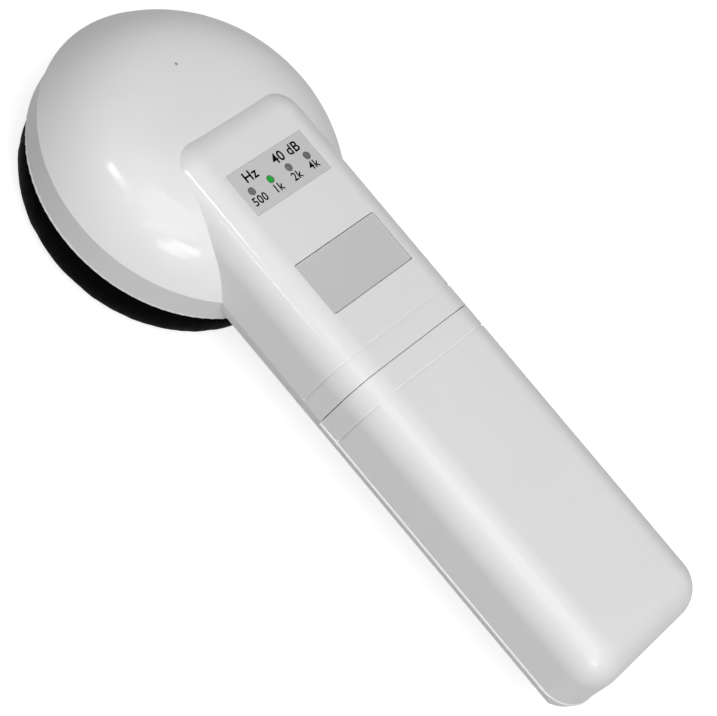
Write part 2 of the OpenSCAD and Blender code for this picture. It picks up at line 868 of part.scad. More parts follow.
module test_key() {
    plate = [key_l - 2 * key_gap, key_w - 2 * key_gap];
    flange = [key_l + 2 * key_flange, plate[1]];
    bottom = flange_top - flange_h;
    corner_r = key_corner_r - key_gap;
    color(grey_colour) placed() translate([key_x, 0, 0]) {
        difference() {
            union() {
                translate([0, 0, bottom])
                    rounded_box([plate[0], plate[1], key_top - bottom], corner_r);
                translate([0, 0, bottom])
                    rounded_box([flange[0], flange[1], flange_h], corner_r);
            }
            translate([0, 0, bottom - cut])
                rounded_box(
                    [plate[0] - 2 * skirt_t, plate[1] - 2 * skirt_t, key_ceiling - bottom + cut],
                    corner_r
                );
        }
        translate([0, 0, plunger_top + loose_gap / 6])
            cylinder(h = key_top - cut - plunger_top, r = stem_r, $fn = 32);
        for (y = [-1, 1]) translate([0, y * spring_out, key_ceiling - guide_l])
            cylinder(h = guide_l + sunk, r = spring_r - 2 * spring_wire - loose_gap, $fn = 24);
    }
}

// Points of a coil spring's middle line, its ends lying flat
function coil_point(t, r, h) =
    let (rise = min(1, max(0, (t * spring_turns - 0.5) / (spring_turns - 1))))
    [r * cos(360 * t * spring_turns), r * sin(360 * t * spring_turns), rise * h];

// Spring wire along a coil
module coil(r, h, wire) {
    n = spring_rings * spring_turns;
    tube([
        for (i = [0 : n])
            let (
                p = coil_point(i / n, r, h),
                a = 360 * spring_turns * i / n,
                out = [cos(a), sin(a), 0]
            )
            for (j = [0 : spring_sides - 1])
                let (b = 360 * j / spring_sides) p + wire * (cos(b) * out + [0, 0, sin(b)])
    ], spring_sides);
}

module key_springs() {
    rise = spring_len - 2 * spring_wire;
    echo(spring_gap = rise / (spring_turns - 1) - 2 * spring_wire);
    color(steel_colour) placed()
        for (y = [-1, 1]) translate([key_x, y * spring_out, board_z + spring_wire])
            coil(spring_r - spring_wire, rise, spring_wire);
}

module switch_case() {
    color(black_colour) placed() translate([key_x, 0, board_z]) difference() {
        rounded_box([switch_side, switch_side, switch_h], 0.3);
        translate([0, 0, switch_h - plunger_sunk - key_travel - loose_gap / 3])
            cylinder(h = switch_h, r = plunger_r + pin_gap, $fn = 32);
    }
}

module switch_plunger() {
    color([0.85, 0.3, 0.2]) placed()
        translate([key_x, 0, board_z + switch_h - plunger_sunk])
            cylinder(h = plunger_sunk + plunger_rise, r = plunger_r, $fn = 32);
}

// ---------------------------------------------------------------- circuit board

module main_board() {
    color([0.1, 0.4, 0.2]) placed() difference() {
        translate([(board_x0 + board_x1) / 2, 0, board_bottom])
            rounded_box([board_x1 - board_x0, board_w, board_t], board_corner_r);
        for (x = board_screw_x, y = [-1, 1])
            translate([x, y * board_screw_y, board_bottom - cut])
                cylinder(h = board_t + 2 * cut, r = board_screw_r + loose_gap / 2, $fn = 24);
        leg_holes(board_bottom - cut, board_t + 2 * cut);
    }
}

// Flat piece soldered under the board
module under_board(x, y, size) {
    translate([x - size[0] / 2, y - size[1] / 2, board_bottom - size[2]]) cube(size);
}

module board_chips() {
    color(black_colour) placed() {
        under_board(processor_at[0], processor_at[1], processor_size);
        for (side = [-1, 1]) under_board(amplifier_at[0], side * amplifier_at[1], amplifier_size);
    }
}

module board_capacitors() {
    color([0.15, 0.2, 0.4]) placed()
        for (p = capacitor_at)
            translate([p[0], p[1], board_bottom - capacitor_h])
                cylinder(h = capacitor_h, r = capacitor_r, $fn = 32);
}

module board_crystal() {
    color(steel_colour) placed()
        translate([crystal_at[0], crystal_at[1], board_bottom - crystal_size[2]])
            rounded_box(crystal_size, crystal_corner_r);
}

module board_resistors() {
    color([0.2, 0.2, 0.22]) placed()
        for (i = [0 : resistor_count - 1], side = [-1, 1])
            under_board(
                resistor_x0 + resistor_pitch * i, side * (resistor_y0 + resistor_step * (i % 3)),
                resistor_size
            );
}

module board_sockets() {
    color([0.9, 0.9, 0.85]) placed() {
        under_board(battery_socket[0], battery_socket[1], socket_size);
        under_board(speaker_socket[0], speaker_socket[1], socket_size);
    }
}

module board_screws() {
    color(steel_colour) placed()
        for (x = board_screw_x, y = [-1, 1])
            translate([x, y * board_screw_y, board_bottom - board_head_h])
                screw(board_head_r, board_head_h, board_screw_r, board_t + board_thread_up);
}

module case_screws() {
    color(steel_colour) placed()
        for (p = case_screw_at) translate([p[0], p[1], case_recess - case_head_h])
            screw(case_head_r, case_head_h, case_screw_r, case_screw_l);
}

// ---------------------------------------------------------------- speaker

module speaker_frame() {
    basket_top = back_z + back_t;
    flange_top_z = flange_z + flange_t;
    shoulder_z = flange_top_z + basket_rise;
    gap_r = coil_r + coil_gap;
    color(steel_colour) placed() difference() {
        rotate_extrude() polygon([
            [frame_in_r, flange_z], [speaker_r, flange_z], [speaker_r, flange_top_z],
            [frame_in_r + basket_t, flange_top_z], [frame_in_r + basket_t, shoulder_z + 0.3],
            [magnet_r + basket_t, basket_top], [gap_r, basket_top], [gap_r, back_z],
            [magnet_r, back_z], [frame_in_r, shoulder_z]
        ]);
        for (a = [30 : 60 : 330]) rotate([0, 0, a])
            translate([
                magnet_r + basket_window_in, -basket_window_w / 2, flange_top_z + basket_rise / 2
            ])
                cube([
                    frame_in_r - magnet_r - 2 * basket_window_in, basket_window_w,
                    basket_top - flange_top_z
                ]);
    }
}

module speaker_magnet() {
    ring_h = magnet_h - magnet_plate;
    color([0.3, 0.3, 0.32]) placed() {
        ring(magnet_z, ring_h, magnet_r, coil_r + coil_gap + 1);
        translate([0, 0, magnet_z + ring_h]) cylinder(h = magnet_plate, r = magnet_r - 0.5);
        translate([0, 0, back_z])
            cylinder(h = back_t + ring_h + magnet_plate / 2, r = coil_r - pole_gap);
    }
}

module speaker_cone() {
    rise = coil_z0 - cone_z;
    color([0.2, 0.2, 0.2]) placed() rotate_extrude() polygon([
        [0, cone_z + rise / 2], [cone_dent_r, cone_z + rise * 0.6],
        [coil_r, cone_z + rise - cone_t], [cone_r - cone_lip, cone_z], [cone_r, cone_z],
        [cone_r, cone_z + cone_t], [coil_r + coil_t, cone_z + rise],
        [coil_r - 0.4, cone_z + rise], [cone_dent_r, cone_z + rise * 0.6 + cone_t],
        [0, cone_z + rise / 2 + cone_t]
    ]);
}

module voice_coil() {
    color([0.75, 0.45, 0.2]) placed() ring(coil_z0, coil_h, coil_r + coil_t, coil_r);
}

// Half roll that holds the cone in its frame
module speaker_surround() {
    in_r = cone_r + loose_gap;
    out_r = frame_in_r - soft_gap;
    mid_r = (in_r + out_r) / 2;
    roll = (out_r - in_r) / 2;
    color(black_colour) placed() rotate_extrude() translate([mid_r, cone_z]) difference() {
        intersection() {
            circle(roll, $fn = 32);
            translate([-roll, 0]) square([2 * roll, roll]);
        }
        circle(roll - 0.4, $fn = 32);
    }
}

module speaker_gasket() {
    color(black_colour) placed()
        ring(floor_z, gasket_t, speaker_r, (sound_open_r + frame_in_r) / 2 + sunk);
}

module speaker_screws() {
    color(steel_colour) placed() for (a = speaker_screw_angles) rotate([0, 0, a])
        translate([speaker_screw_out, 0, floor_z + speaker_screw_l + 1.2]) rotate([180, 0, 0])
            screw(speaker_head_r, 1.2, speaker_screw_r, speaker_screw_l - loose_gap);
}

// Route of one speaker lead, from the basket's rim to the board's socket
function speaker_route(side) =
    let (x0 = magnet_r + lead_r + soft_gap, y = side * socket_pin_y)
    [
        [x0, y, back_z + back_t],
        [x0, y, magnet_z + magnet_h],
        [x0 + lead_bend, y, wire_socket_z],
        [speaker_socket[0] - socket_size[0] / 2, y, wire_socket_z]
    ];

module speaker_lead_red() {
    color([0.75, 0.1, 0.1]) placed() lead(speaker_route(1));
}

module speaker_lead_black() {
    color(black_colour) placed() lead(speaker_route(-1));
}

// ---------------------------------------------------------------- cushion

module acoustic_cloth() {
    color(black_colour) placed() cylinder(h = 0.4, r = sound_open_r - loose_gap);
}

module cushion_plate() {
    color(black_colour) placed() difference() {
        union() {
            translate([0, 0, -plate_t]) cylinder(h = plate_t, r = plate_r);
            translate([0, 0, plate_bottom]) cylinder(h = plate_step, r = plate_step_r);
        }
        for (i = [0 : sound_rings]) for (j = [0 : max(0, 6 * i - 1)])
            rotate([0, 0, i == 0 ? 0 : 60 * j / i])
                translate([i * sound_ring, 0, plate_bottom - cut])
                    cylinder(h = plate_t + plate_step + 2 * cut, r = sound_hole_r, $fn = 16);
        for (a = plate_screw_angles) rotate([0, 0, a])
            translate([plate_screw_out, 0, floor_z - plate_thread_l - loose_gap])
                cylinder(h = front_z, r = plate_screw_r + pin_gap, $fn = 24);
    }
}

module plate_screws() {
    color(steel_colour) placed() for (a = plate_screw_angles) rotate([0, 0, a])
        translate([plate_screw_out, 0, floor_z + plate_head_h]) rotate([180, 0, 0])
            screw(plate_head_r, plate_head_h, plate_screw_r, plate_thread_l);
}

// Corner of a unit superellipse in one direction
function signed_pow(v, p) = sign(v) * pow(abs(v), p);

// Padded ring with a crown, drawn-in sides and a flat where it presses on the head
module ear_cushion() {
    section = [
        for (i = [0 : cushion_steps - 1])
            let (
                a = 360 * i / cushion_steps,
                r = cushion_mid_r + cushion_half * signed_pow(cos(a), 2 / cushion_power),
                z = cushion_mid_z + cushion_rise * signed_pow(sin(a), 2 / cushion_power)
            )
            [r, max(z, -cushion_h)]
    ];
    color(black_colour) placed() rotate_extrude($fn = 128) difference() {
        polygon(section);
        translate([0, plate_bottom - soft_gap])
            square([plate_step_r + soft_gap, plate_step + plate_t + cut]);
    }
}

module damping_foam() {
    color([0.3, 0.3, 0.32]) placed() difference() {
        ring(floor_z, foam_h, band_r - wall - loose_gap, foam_in_r);
        for (p = case_screw_at) translate([p[0], p[1], 0])
            cylinder(h = front_z, r = boss_r + loose_gap, $fn = 32);
    }
}

// ---------------------------------------------------------------- battery

module battery() {
    color([0.15, 0.15, 0.16]) placed()
        translate([battery_x, 0, battery_mid_z]) rotate([0, 90, 0])
            rounded_box([battery_t, battery_w, battery_l], battery_corner_r);
}

module battery_terminals() {
    color(steel_colour) placed() for (y = [-1, 1])
        translate([battery_x - terminal_h, y * terminal_pitch / 2, battery_mid_z])
            rotate([0, 90, 0]) cylinder(h = terminal_h, r = terminal_r, $fn = 32);
}

module battery_clip() {
    color(black_colour) placed() difference() {
        translate([clip_x, 0, battery_mid_z]) rotate([0, 90, 0])
            rounded_box([clip_t, battery_w - 1, clip_l], battery_corner_r);
        for (y = [-1, 1])
            translate([battery_x - socket_depth, y * terminal_pitch / 2, battery_mid_z])
                rotate([0, 90, 0]) cylinder(h = clip_l, r = terminal_r + soft_gap, $fn = 32);
    }
}

// Route of one battery lead, from the snap connector to the board's socket
function lead_route(side) = [
    [clip_x, side * lead_y, battery_mid_z],
    [clip_x - 5, side * lead_y, battery_mid_z],
    [partition_x + rib_t + 4, side * lead_y, battery_z + battery_t - 3],
    [partition_x - 4, side * lead_y, battery_z + battery_t - 3],
    [battery_socket[0] + socket_size[0] / 2 + lead_bend, side * socket_pin_y, wire_socket_z],
    [battery_socket[0] + socket_size[0] / 2, side * socket_pin_y, wire_socket_z]
];

module battery_lead_red() {
    color([0.75, 0.1, 0.1]) placed() lead(lead_route(1));
}

module battery_lead_black() {
    color(black_colour) placed() lead(lead_route(-1));
}

front_shell();
rear_shell();
battery_cover();
cover_pad();
label_panel();
led_500();
led_1k();
led_2k();
led_4k();
led_spacer();
test_key();
key_springs();
switch_case();
switch_plunger();
main_board();
board_chips();
board_capacitors();
board_crystal();
board_resistors();
board_sockets();
board_screws();
case_screws();
speaker_frame();
speaker_magnet();
speaker_cone();
voice_coil();
speaker_surround();
speaker_gasket();
speaker_screws();
speaker_lead_red();
speaker_lead_black();
acoustic_cloth();
cushion_plate();
plate_screws();
ear_cushion();
damping_foam();
battery();
battery_terminals();
battery_clip();
battery_lead_red();
battery_lead_black();
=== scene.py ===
import math

import bmesh
import bpy
from mathutils import Matrix, Vector, noise


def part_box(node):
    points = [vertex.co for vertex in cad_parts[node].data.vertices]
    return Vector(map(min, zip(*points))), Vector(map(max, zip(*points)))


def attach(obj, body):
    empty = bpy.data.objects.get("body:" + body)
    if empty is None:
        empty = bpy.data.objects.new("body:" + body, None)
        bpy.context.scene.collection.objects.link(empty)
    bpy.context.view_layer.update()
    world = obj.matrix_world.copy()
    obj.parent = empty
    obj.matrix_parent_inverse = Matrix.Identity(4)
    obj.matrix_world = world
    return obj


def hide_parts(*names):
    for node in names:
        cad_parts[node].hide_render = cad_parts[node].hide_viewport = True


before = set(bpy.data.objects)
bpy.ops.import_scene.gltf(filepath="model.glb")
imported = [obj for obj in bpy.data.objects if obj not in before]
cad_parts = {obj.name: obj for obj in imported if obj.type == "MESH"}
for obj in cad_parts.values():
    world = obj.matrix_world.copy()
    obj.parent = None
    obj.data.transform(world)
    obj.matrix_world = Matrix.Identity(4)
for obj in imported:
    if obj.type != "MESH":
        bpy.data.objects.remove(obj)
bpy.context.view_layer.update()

MM = 0.001
cushion_low, cushion_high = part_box("ear_cushion")
CUP_X = (cushion_low.x + cushion_high.x) / 2
LABEL_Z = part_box("label_panel")[1].z


# ---------------------------------------------------------------- camera, lamps and floor


def camera():
    """The camera of the photograph, as its straight lines and curves gave it."""
    data = bpy.data.cameras.new("camera")
    data.sensor_width = 36.0
    data.lens = 128.421
    data.clip_start = 0.05
    data.clip_end = 20.0
    view = bpy.data.objects.new("camera", data)
    right = Vector((0.64082521, 0.61216157, 0.46325074))
    up = Vector((-0.765135, 0.46014154, 0.45037561))
    back = Vector((0.06254173, -0.64306141, 0.76325655))
    turn = Matrix((right, up, back)).transposed().to_4x4()
    view.matrix_world = Matrix.Translation((0.04739, -0.44333, 0.55054)) @ turn
    bpy.context.collection.objects.link(view)
    bpy.context.scene.camera = view


# Large soft lamps: name, degrees round from +X, degrees above the floor, watts
SOFT_LAMPS = (
    ("main_lamp", 300, 60, 9.2),
    ("side_lamp", 315, 35, 4.4),
    ("top_lamp", 0, 88, 3.7),
    ("front_lamp", 270, 35, 2.0),
    ("left_lamp", 240, 60, 1.8),
    ("back_lamp", 60, 60, 1.1),
)
SOFT_SIZE = 1.0
WORLD_LEVEL = 0.06
LAMP_DISTANCE = 1.4
# All lamps look at this point
AIM = Vector((-0.03, 0.0, 0.03))


def from_angles(turn, height):
    """Direction so many degrees round from +X and so many above the floor."""
    around, lift = math.radians(turn), math.radians(height)
    flat = math.cos(lift)
    return Vector((flat * math.cos(around), flat * math.sin(around), math.sin(lift)))


def lamp(name, direction, size, power):
    """Round lamp that looks at the cup."""
    data = bpy.data.lights.new(name, "AREA")
    data.shape = "DISK"
    data.size = size
    data.energy = power
    obj = bpy.data.objects.new(name, data)
    obj.location = AIM + direction * LAMP_DISTANCE
    obj.rotation_euler = direction.to_track_quat("Z", "Y").to_euler()
    bpy.context.collection.objects.link(obj)
    return obj


# Long thin lamps that show only as reflections: name, where each end is in degrees round and
# degrees up, how thick in degrees, how bright
STREAKS = (
    ("window_glint", (231.0, 45.5), (258.0, 53.0), 4.2, 70),
    ("left_streak", (256.0, 37.6), (267.0, 42.6), 1.2, 30),
    ("right_streak", (283.0, 37.4), (295.0, 38.8), 1.0, 40),
    ("low_glint", (299.0, 31.0), (331.0, 31.0), 9.0, 14),
)


def streak(name, start, end, thick, bright):
    """Elliptical lamp between two directions, left out of the diffuse light."""
    first, last = from_angles(*start), from_angles(*end)
    middle = (first + last).normalized()
    obj = lamp(name, middle, (last - first).length * LAMP_DISTANCE, 0.0)
    data = obj.data
    data.shape = "ELLIPSE"
    data.size_y = math.radians(thick) * LAMP_DISTANCE
    area = data.size * data.size_y * math.pi / 4
    data.energy = bright * math.pi * area
    side = middle.cross(last - first).normalized()
    turn = Matrix((side.cross(middle), side, middle)).transposed()
    obj.rotation_euler = turn.to_euler()
    obj.visible_diffuse = False


def seen_directly(tree):
    """1 for what the camera sees, straight or reflected, and 0 for light that falls on things."""
    path = tree.nodes.new("ShaderNodeLightPath")
    either = tree.nodes.new("ShaderNodeMath")
    either.operation = "MAXIMUM"
    any_of = tree.nodes.new("ShaderNodeMath")
    any_of.operation = "MAXIMUM"
    tree.links.new(path.outputs["Is Camera Ray"], either.inputs[0])
    tree.links.new(path.outputs["Is Glossy Ray"], either.inputs[1])
    tree.links.new(either.outputs[0], any_of.inputs[0])
    tree.links.new(path.outputs["Is Transmission Ray"], any_of.inputs[1])
    return any_of.outputs[0]


def world_light(soft_level):
    world = bpy.data.worlds.new("studio")
    bpy.context.scene.world = world
    world.use_nodes = True
    tree = world.node_tree
    tree.nodes.clear()
    out = tree.nodes.new("ShaderNodeOutputWorld")
    soft = tree.nodes.new("ShaderNodeBackground")
    soft.inputs["Strength"].default_value = soft_level
    white = tree.nodes.new("ShaderNodeBackground")
    white.inputs["Color"].default_value = (1, 1, 1, 1)
    soft.inputs["Color"].default_value = (1, 1, 1, 1)
    mix = tree.nodes.new("ShaderNodeMixShader")
    tree.links.new(seen_directly(tree), mix.inputs[0])
    tree.links.new(soft.outputs[0], mix.inputs[1])
    tree.links.new(white.outputs[0], mix.inputs[2])
    tree.links.new(mix.outputs[0], out.inputs["Surface"])


def floor():
    mesh = bmesh.new()
    bmesh.ops.create_grid(mesh, x_segments=1, y_segments=1, size=4.0)
    plate = new_object("floor", mesh)
    made = bpy.data.materials.new("floor_white")
    made.use_nodes = True
    tree = made.node_tree
    tree.nodes.clear()
    out = tree.nodes.new("ShaderNodeOutputMaterial")
    matt = tree.nodes.new("ShaderNodeBsdfDiffuse")
    matt.inputs["Color"].default_value = (0.4, 0.4, 0.4, 1)
    pale = tree.nodes.new("ShaderNodeBsdfDiffuse")
    pale.inputs["Color"].default_value = (0.5, 0.5, 0.5, 1)
    glow = tree.nodes.new("ShaderNodeEmission")
    glow.inputs["Strength"].default_value = 0.75
    add = tree.nodes.new("ShaderNodeAddShader")
    mix = tree.nodes.new("ShaderNodeMixShader")
    tree.links.new(pale.outputs[0], add.inputs[0])
    tree.links.new(glow.outputs[0], add.inputs[1])
    tree.links.new(seen_directly(tree), mix.inputs[0])
    tree.links.new(matt.outputs[0], mix.inputs[1])
    tree.links.new(add.outputs[0], mix.inputs[2])
    tree.links.new(mix.outputs[0], out.inputs["Surface"])
    plate.data.materials.append(made)


# ---------------------------------------------------------------- meshes


def new_object(name, mesh):
    data = bpy.data.meshes.new(name)
    mesh.to_mesh(data)
    mesh.free()
    obj = bpy.data.objects.new(name, data)
    bpy.context.collection.objects.link(obj)
    return obj


def spun(mesh, steps, merge):
    """Turns an outline in the XZ plane once round Z into a closed skin, faces outwards."""
    bmesh.ops.spin(
        mesh,
        geom=mesh.verts[:] + mesh.edges[:],
        cent=(0, 0, 0),
        axis=(0, 0, 1),
        angle=2 * math.pi,
        steps=steps,
        use_merge=True,
    )
    bmesh.ops.remove_doubles(mesh, verts=mesh.verts, dist=merge)
    bmesh.ops.recalc_face_normals(mesh, faces=mesh.faces)


def smooth(obj, angle=35):
    for face in obj.data.polygons:
        face.use_smooth = True
    obj.data.set_sharp_from_angle(angle=math.radians(angle))


def finish(obj, material, body):
    obj.data.materials.clear()
    obj.data.materials.append(material)
    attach(obj, body)


# ---------------------------------------------------------------- materials

COAT_ROUGHNESS = 0.1
COAT_IOR = 2.2


def node_of(made, kind):
    """The material's first node of a kind."""
    return next(n for n in made.node_tree.nodes if n.bl_idname == kind)


def plastic(name, colour, rough=0.35, coat=0.0, grain=0.0003, bump=0.02, tint=0.03, shine=0.5):
    """Moulded plastic: fine texture, a slight change of tone and of gloss, and a thin polish."""
    made = bpy.data.materials.new(name)
    made.use_nodes = True
    tree = made.node_tree
    shader = tree.nodes["Principled BSDF"]
    shader.inputs["Coat Weight"].default_value = coat
    shader.inputs["Coat Roughness"].default_value = COAT_ROUGHNESS
    shader.inputs["Coat IOR"].default_value = COAT_IOR
    shader.inputs["Specular IOR Level"].default_value = shine
    where = tree.nodes.new("ShaderNodeTexCoord")
    cloud = tree.nodes.new("ShaderNodeTexNoise")
    cloud.inputs["Scale"].default_value = 28.0
    cloud.inputs["Detail"].default_value = 3.0
    tone = tree.nodes.new("ShaderNodeValToRGB")
    dark = [c * (1 - tint) for c in colour]
    light = [min(1.0, c * (1 + tint)) for c in colour]
    tone.color_ramp.elements[0].position = 0.35
    tone.color_ramp.elements[0].color = (*dark, 1)
    tone.color_ramp.elements[1].position = 0.65
    tone.color_ramp.elements[1].color = (*light, 1)
    gloss = tree.nodes.new("ShaderNodeMapRange")
    gloss.inputs["To Min"].default_value = rough * 0.9
    gloss.inputs["To Max"].default_value = rough * 1.12
    fine = tree.nodes.new("ShaderNodeTexNoise")
    fine.inputs["Scale"].default_value = 0.35 / grain
    fine.inputs["Detail"].default_value = 2.0
    relief = tree.nodes.new("ShaderNodeBump")
    relief.inputs["Strength"].default_value = bump
    relief.inputs["Distance"].default_value = grain
    tree.links.new(where.outputs["Object"], cloud.inputs["Vector"])
    tree.links.new(where.outputs["Object"], fine.inputs["Vector"])
    tree.links.new(cloud.outputs[0], tone.inputs[0])
    tree.links.new(cloud.outputs[0], gloss.inputs["Value"])
    tree.links.new(tone.outputs[0], shader.inputs["Base Color"])
    tree.links.new(gloss.outputs[0], shader.inputs["Roughness"])
    tree.links.new(fine.outputs[0], relief.inputs["Height"])
    tree.links.new(relief.outputs[0], shader.inputs["Normal"])
    return made


# The dome's curve in part.scad: height = top - rise * (radius / rim) ** power. A point nearer
# to it than DOME_NEAR is on the dome.
DOME_RIM = 45.9 * MM
DOME_RISE = 18.9 * MM
DOME_POWER = 4.5
DOME_TOP = 46.2 * MM
DOME_NEAR = 0.06 * MM


def calc(tree, kind, first, second):
    """Math node; each value is a number or another node's output."""
    node = tree.nodes.new("ShaderNodeMath")
    node.operation = kind
    for socket, value in zip(node.inputs, (first, second)):
        if isinstance(value, (int, float)):
            socket.default_value = value
        else:
            tree.links.new(value, socket)
    return node.outputs[0]


def round_dome(made):
    """Shades the dome's narrow bands as the one smooth curve that they follow."""
    tree = made.node_tree
    where = node_of(made, "ShaderNodeTexCoord")
    split = tree.nodes.new("ShaderNodeSeparateXYZ")
    tree.links.new(where.outputs["Object"], split.inputs[0])
    across = calc(tree, "DIVIDE", calc(tree, "SUBTRACT", split.outputs["X"], CUP_X), DOME_RIM)
    along = calc(tree, "DIVIDE", split.outputs["Y"], DOME_RIM)
    squares = [calc(tree, "MULTIPLY", side, side) for side in (across, along)]
    share = calc(tree, "SQRT", calc(tree, "ADD", *squares), 0.0)
    drop = calc(tree, "MULTIPLY", calc(tree, "POWER", share, DOME_POWER), DOME_RISE)
    reach = calc(tree, "ADD", drop, split.outputs["Z"])
    gap = calc(tree, "ABSOLUTE", calc(tree, "SUBTRACT", DOME_TOP, reach), 0.0)
    on_dome = calc(tree, "LESS_THAN", gap, DOME_NEAR)
    steep = DOME_RISE * DOME_POWER / DOME_RIM
    lean = calc(tree, "MULTIPLY", calc(tree, "POWER", share, DOME_POWER - 2), steep)
    join = tree.nodes.new("ShaderNodeCombineXYZ")
    tree.links.new(calc(tree, "MULTIPLY", across, lean), join.inputs["X"])
    tree.links.new(calc(tree, "MULTIPLY", along, lean), join.inputs["Y"])
    join.inputs["Z"].default_value = 1.0
    turn = tree.nodes.new("ShaderNodeVectorTransform")
    turn.vector_type = "NORMAL"
    turn.convert_from = "OBJECT"
    turn.convert_to = "WORLD"
    tree.links.new(join.outputs[0], turn.inputs[0])
    own = tree.nodes.new("ShaderNodeNewGeometry")
    mix = tree.nodes.new("ShaderNodeMix")
    mix.data_type = "VECTOR"
    tree.links.new(on_dome, mix.inputs["Factor"])
    tree.links.new(own.outputs["Normal"], mix.inputs["A"])
    tree.links.new(turn.outputs[0], mix.inputs["B"])
    relief = node_of(made, "ShaderNodeBump")
    tree.links.new(mix.outputs["Result"], relief.inputs["Normal"])
    return made


def metal(name, colour, rough=0.3, stretch=(1, 1, 12)):
    """Bright metal with drawn or turned lines along its length."""
    made = plastic(name, colour, rough, 0.0, 0.00012, 0.06, 0.05)
    tree = made.node_tree
    tree.nodes["Principled BSDF"].inputs["Metallic"].default_value = 1.0
    where = node_of(made, "ShaderNodeTexCoord")
    place = tree.nodes.new("ShaderNodeMapping")
    place.inputs["Scale"].default_value = stretch
    tree.links.new(where.outputs["Object"], place.inputs["Vector"])
    for node in tree.nodes:
        if node.bl_idname == "ShaderNodeTexNoise":
            tree.links.new(place.outputs[0], node.inputs["Vector"])
    return made


def foam(name, colour):
    """Open-cell foam: small dark pores."""
    made = plastic(name, colour, 0.95, 0.0, 0.0006, 0.4, 0.1)
    tree = made.node_tree
    relief = node_of(made, "ShaderNodeBump")
    where = node_of(made, "ShaderNodeTexCoord")
    cells = tree.nodes.new("ShaderNodeTexVoronoi")
    cells.inputs["Scale"].default_value = 1400.0
    relief.inputs["Strength"].default_value = 0.8
    tree.links.new(where.outputs["Object"], cells.inputs["Vector"])
    tree.links.new(cells.outputs["Distance"], relief.inputs["Height"])
    return made


def cloth(name, colour):
    """Plain woven cloth, threads 0.25 mm apart."""
    made = plastic(name, colour, 0.9, 0.0, 0.0002, 0.3, 0.1)
    tree = made.node_tree
    shader = tree.nodes["Principled BSDF"]
    shader.inputs["Sheen Weight"].default_value = 0.15
    relief = node_of(made, "ShaderNodeBump")
    where = node_of(made, "ShaderNodeTexCoord")
    warp = tree.nodes.new("ShaderNodeTexWave")
    weft = tree.nodes.new("ShaderNodeTexWave")
    warp.bands_direction = "X"
    weft.bands_direction = "Y"
    both = tree.nodes.new("ShaderNodeMath")
    both.operation = "MAXIMUM"
    for thread in (warp, weft):
        thread.inputs["Scale"].default_value = 640.0
        tree.links.new(where.outputs["Object"], thread.inputs["Vector"])
    tree.links.new(warp.outputs["Fac"], both.inputs[0])
    tree.links.new(weft.outputs["Fac"], both.inputs[1])
    tree.links.new(both.outputs[0], relief.inputs["Height"])
    relief.inputs["Strength"].default_value = 0.6
    return made


def leatherette(name, colour):
    """Soft artificial leather: pebbled grain with finer creases in it."""
    made = plastic(name, colour, 0.5, 0.0, 0.0004, 0.25, 0.15)
    tree = made.node_tree
    shader = tree.nodes["Principled BSDF"]
    shader.inputs["Specular IOR Level"].default_value = 0.008
    relief = node_of(made, "ShaderNodeBump")
    where = node_of(made, "ShaderNodeTexCoord")
    pebble = tree.nodes.new("ShaderNodeTexVoronoi")
    pebble.feature = "DISTANCE_TO_EDGE"
    pebble.inputs["Scale"].default_value = 900.0
    edge = tree.nodes.new("ShaderNodeMapRange")
    edge.inputs["From Max"].default_value = 0.25
    crease = tree.nodes.new("ShaderNodeTexNoise")
    crease.inputs["Scale"].default_value = 260.0
    crease.inputs["Detail"].default_value = 5.0
    both = tree.nodes.new("ShaderNodeMath")
    both.operation = "MULTIPLY_ADD"
    both.inputs[1].default_value = 0.6
    tree.links.new(where.outputs["Object"], pebble.inputs["Vector"])
    tree.links.new(where.outputs["Object"], crease.inputs["Vector"])
    tree.links.new(pebble.outputs["Distance"], edge.inputs["Value"])
    tree.links.new(edge.outputs[0], both.inputs[0])
    tree.links.new(crease.outputs[0], both.inputs[2])
    tree.links.new(both.outputs[0], relief.inputs["Height"])
    return made


def lens(name, colour, glow=0.0):
    """Tinted lamp lens."""
    made = plastic(name, colour, 0.3, 0.06, 0.0002, 0.02, 0.12, 0.1)
    shader = made.node_tree.nodes["Principled BSDF"]
    shader.inputs["Emission Color"].default_value = (*colour, 1)
    shader.inputs["Emission Strength"].default_value = glow
    return made


def board_mask(name):
    """Green solder mask over faint copper tracks."""
    made = plastic(name, (0.02, 0.14, 0.05), 0.35, 0.4, 0.0002, 0.1, 0.1)
    tree = made.node_tree
    shader = tree.nodes["Principled BSDF"]
    where = node_of(made, "ShaderNodeTexCoord")
    tone = node_of(made, "ShaderNodeValToRGB")
    tracks = tree.nodes.new("ShaderNodeTexBrick")
    tracks.inputs["Scale"].default_value = 160.0
    tracks.inputs["Mortar Size"].default_value = 0.06
    tracks.inputs["Color1"].default_value = (1, 1, 1, 1)
    tracks.inputs["Color2"].default_value = (0.85, 0.85, 0.85, 1)
    tracks.inputs["Mortar"].default_value = (2.0, 1.5, 1.2, 1)
    mix = tree.nodes.new("ShaderNodeMix")
    mix.data_type = "RGBA"
    mix.blend_type = "MULTIPLY"
    mix.inputs["Factor"].default_value = 1.0
    tree.links.new(where.outputs["Object"], tracks.inputs["Vector"])
    tree.links.new(tone.outputs[0], mix.inputs["A"])
    tree.links.new(tracks.outputs["Color"], mix.inputs["B"])
    tree.links.new(mix.outputs["Result"], shader.inputs["Base Color"])
    return made


